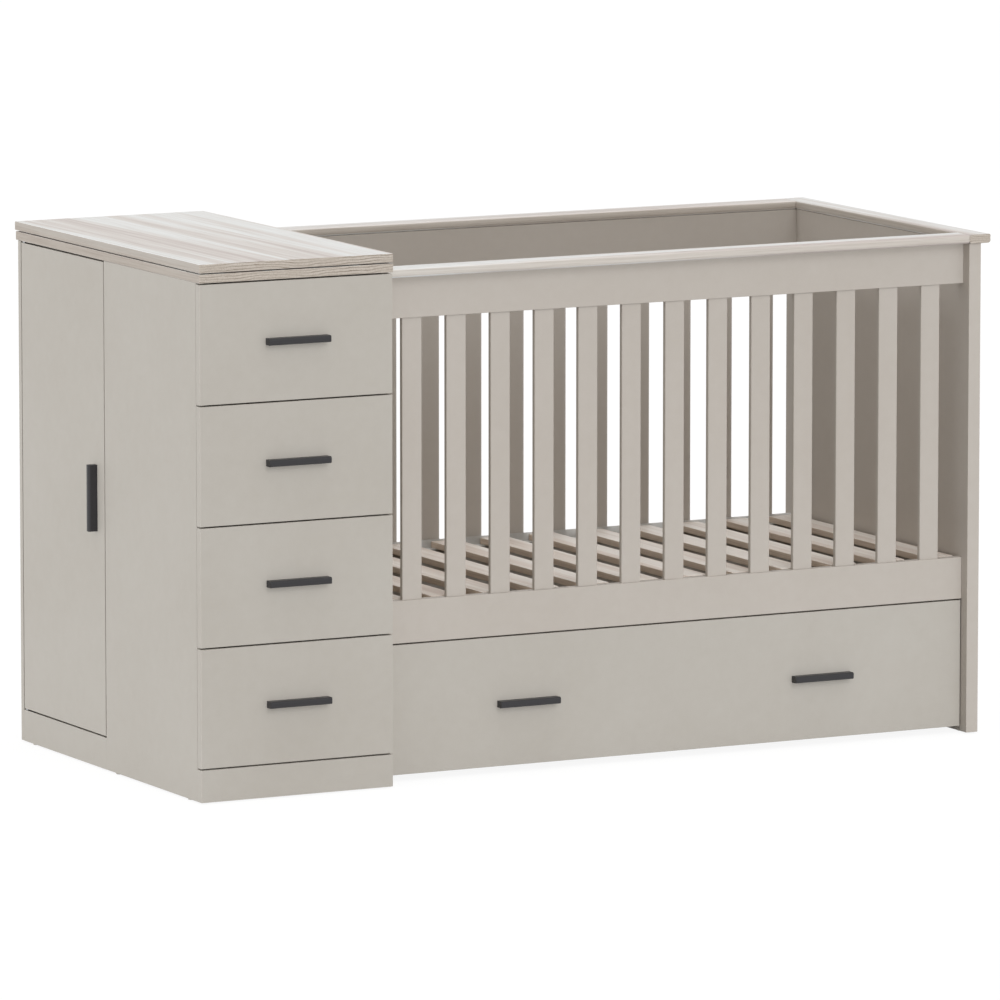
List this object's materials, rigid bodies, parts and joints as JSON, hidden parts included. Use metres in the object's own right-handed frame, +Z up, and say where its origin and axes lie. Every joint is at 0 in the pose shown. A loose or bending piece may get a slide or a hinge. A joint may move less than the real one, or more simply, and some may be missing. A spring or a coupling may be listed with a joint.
{
  "type": "crib with attached changing dresser",
  "caption": "Crib with slatted sides, a wide rolling drawer beneath it and a narrow chest of drawers with a changing top and a side cupboard at one end.",
  "frame": {"origin": "on the floor, at the middle of the object's outer box in X and Y, handles and caps included", "axes": "+X along the front from the dresser to the footboard, -Y towards the drawer fronts, +Z up"},
  "size_m": [1.6656, 0.8094, 0.975],
  "materials": {
    "painted_board": "satin warm grey paint on board",
    "timber": "satin clear coat on pale wood grain",
    "drawer_lining": "matt pale foil on board",
    "charcoal_metal": "satin charcoal",
    "zinc_steel": "zinc plated",
    "black_plastic": "matt",
    "pale_plastic": "matt"
  },
  "bodies": {
    "frame": {"left_side_panel": "painted_board", "right_side_panel": "painted_board", "back_panel": "painted_board", "bottom_panel": "painted_board", "partition_panel": "painted_board", "front_plinth": "painted_board", "side_plinth": "painted_board", "cupboard_shelves": "painted_board", "shelf_pins": "zinc_steel", "dresser_top": "timber", "changer_top": "timber", "top_pegs": "black_plastic", "runner_rails": "zinc_steel", "door_hinge_plates": "zinc_steel", "panel_cams": "zinc_steel", "footboard": "painted_board", "front_top_rail": "painted_board", "front_bottom_rail": "painted_board", "front_slats": "painted_board", "back_top_rail": "painted_board", "back_bottom_rail": "painted_board", "back_slats": "painted_board", "front_cap": "timber", "back_cap": "timber", "end_cap": "timber", "mattress_slats": "timber", "mattress_angles": "zinc_steel", "frame_bolts": "zinc_steel", "barrel_nuts": "zinc_steel", "glides": "pale_plastic"},
    "drawer_1": {"drawer_1_front": "painted_board", "drawer_1_box": "drawer_lining", "drawer_1_bottom": "drawer_lining", "drawer_1_handle": "charcoal_metal", "drawer_1_runners": "zinc_steel"},
    "drawer_2": {"drawer_2_front": "painted_board", "drawer_2_box": "drawer_lining", "drawer_2_bottom": "drawer_lining", "drawer_2_handle": "charcoal_metal", "drawer_2_runners": "zinc_steel"},
    "drawer_3": {"drawer_3_front": "painted_board", "drawer_3_box": "drawer_lining", "drawer_3_bottom": "drawer_lining", "drawer_3_handle": "charcoal_metal", "drawer_3_runners": "zinc_steel"},
    "drawer_4": {"drawer_4_front": "painted_board", "drawer_4_box": "drawer_lining", "drawer_4_bottom": "drawer_lining", "drawer_4_handle": "charcoal_metal", "drawer_4_runners": "zinc_steel"},
    "crib_drawer": {"crib_drawer_front": "painted_board", "crib_drawer_box": "drawer_lining", "crib_drawer_bottom": "drawer_lining", "crib_drawer_handles": "charcoal_metal", "castor_forks": "zinc_steel"},
    "front_wheels": {"front_wheels": "black_plastic"},
    "rear_wheels": {"rear_wheels": "black_plastic"},
    "door": {"cupboard_door": "painted_board", "door_handle": "charcoal_metal", "door_hinge_leaves": "zinc_steel"}
  },
  "joints": [
    {"name": "drawer_1_slide", "type": "slide", "parent": "frame", "child": "drawer_1", "axis": [0, -1, 0], "range_m": [0, 0.26]},
    {"name": "drawer_2_slide", "type": "slide", "parent": "frame", "child": "drawer_2", "axis": [0, -1, 0], "range_m": [0, 0.26]},
    {"name": "drawer_3_slide", "type": "slide", "parent": "frame", "child": "drawer_3", "axis": [0, -1, 0], "range_m": [0, 0.26]},
    {"name": "drawer_4_slide", "type": "slide", "parent": "frame", "child": "drawer_4", "axis": [0, -1, 0], "range_m": [0, 0.26]},
    {"name": "crib_drawer_slide", "type": "slide", "parent": "frame", "child": "crib_drawer", "axis": [0, -1, 0], "range_m": [0, 0.5]},
    {"name": "front_wheels_roll", "type": "hinge", "parent": "crib_drawer", "child": "front_wheels", "pos_m": [0.18025, -0.23775, 0.022], "axis": [1, 0, 0], "continuous": true},
    {"name": "rear_wheels_roll", "type": "hinge", "parent": "crib_drawer", "child": "rear_wheels", "pos_m": [0.18025, 0.19225, 0.022], "axis": [1, 0, 0], "continuous": true},
    {"name": "door_swing", "type": "hinge", "parent": "frame", "child": "door", "pos_m": [-0.81025, 0.37125, 0.501], "axis": [0, 0, -1], "range_deg": [0, 95]}
  ],
  "couplings": [
    {"joint": "front_wheels_roll", "follows": "crib_drawer_slide", "rad_per_m": 45.455},
    {"joint": "rear_wheels_roll", "follows": "crib_drawer_slide", "rad_per_m": 45.455}
  ]
}
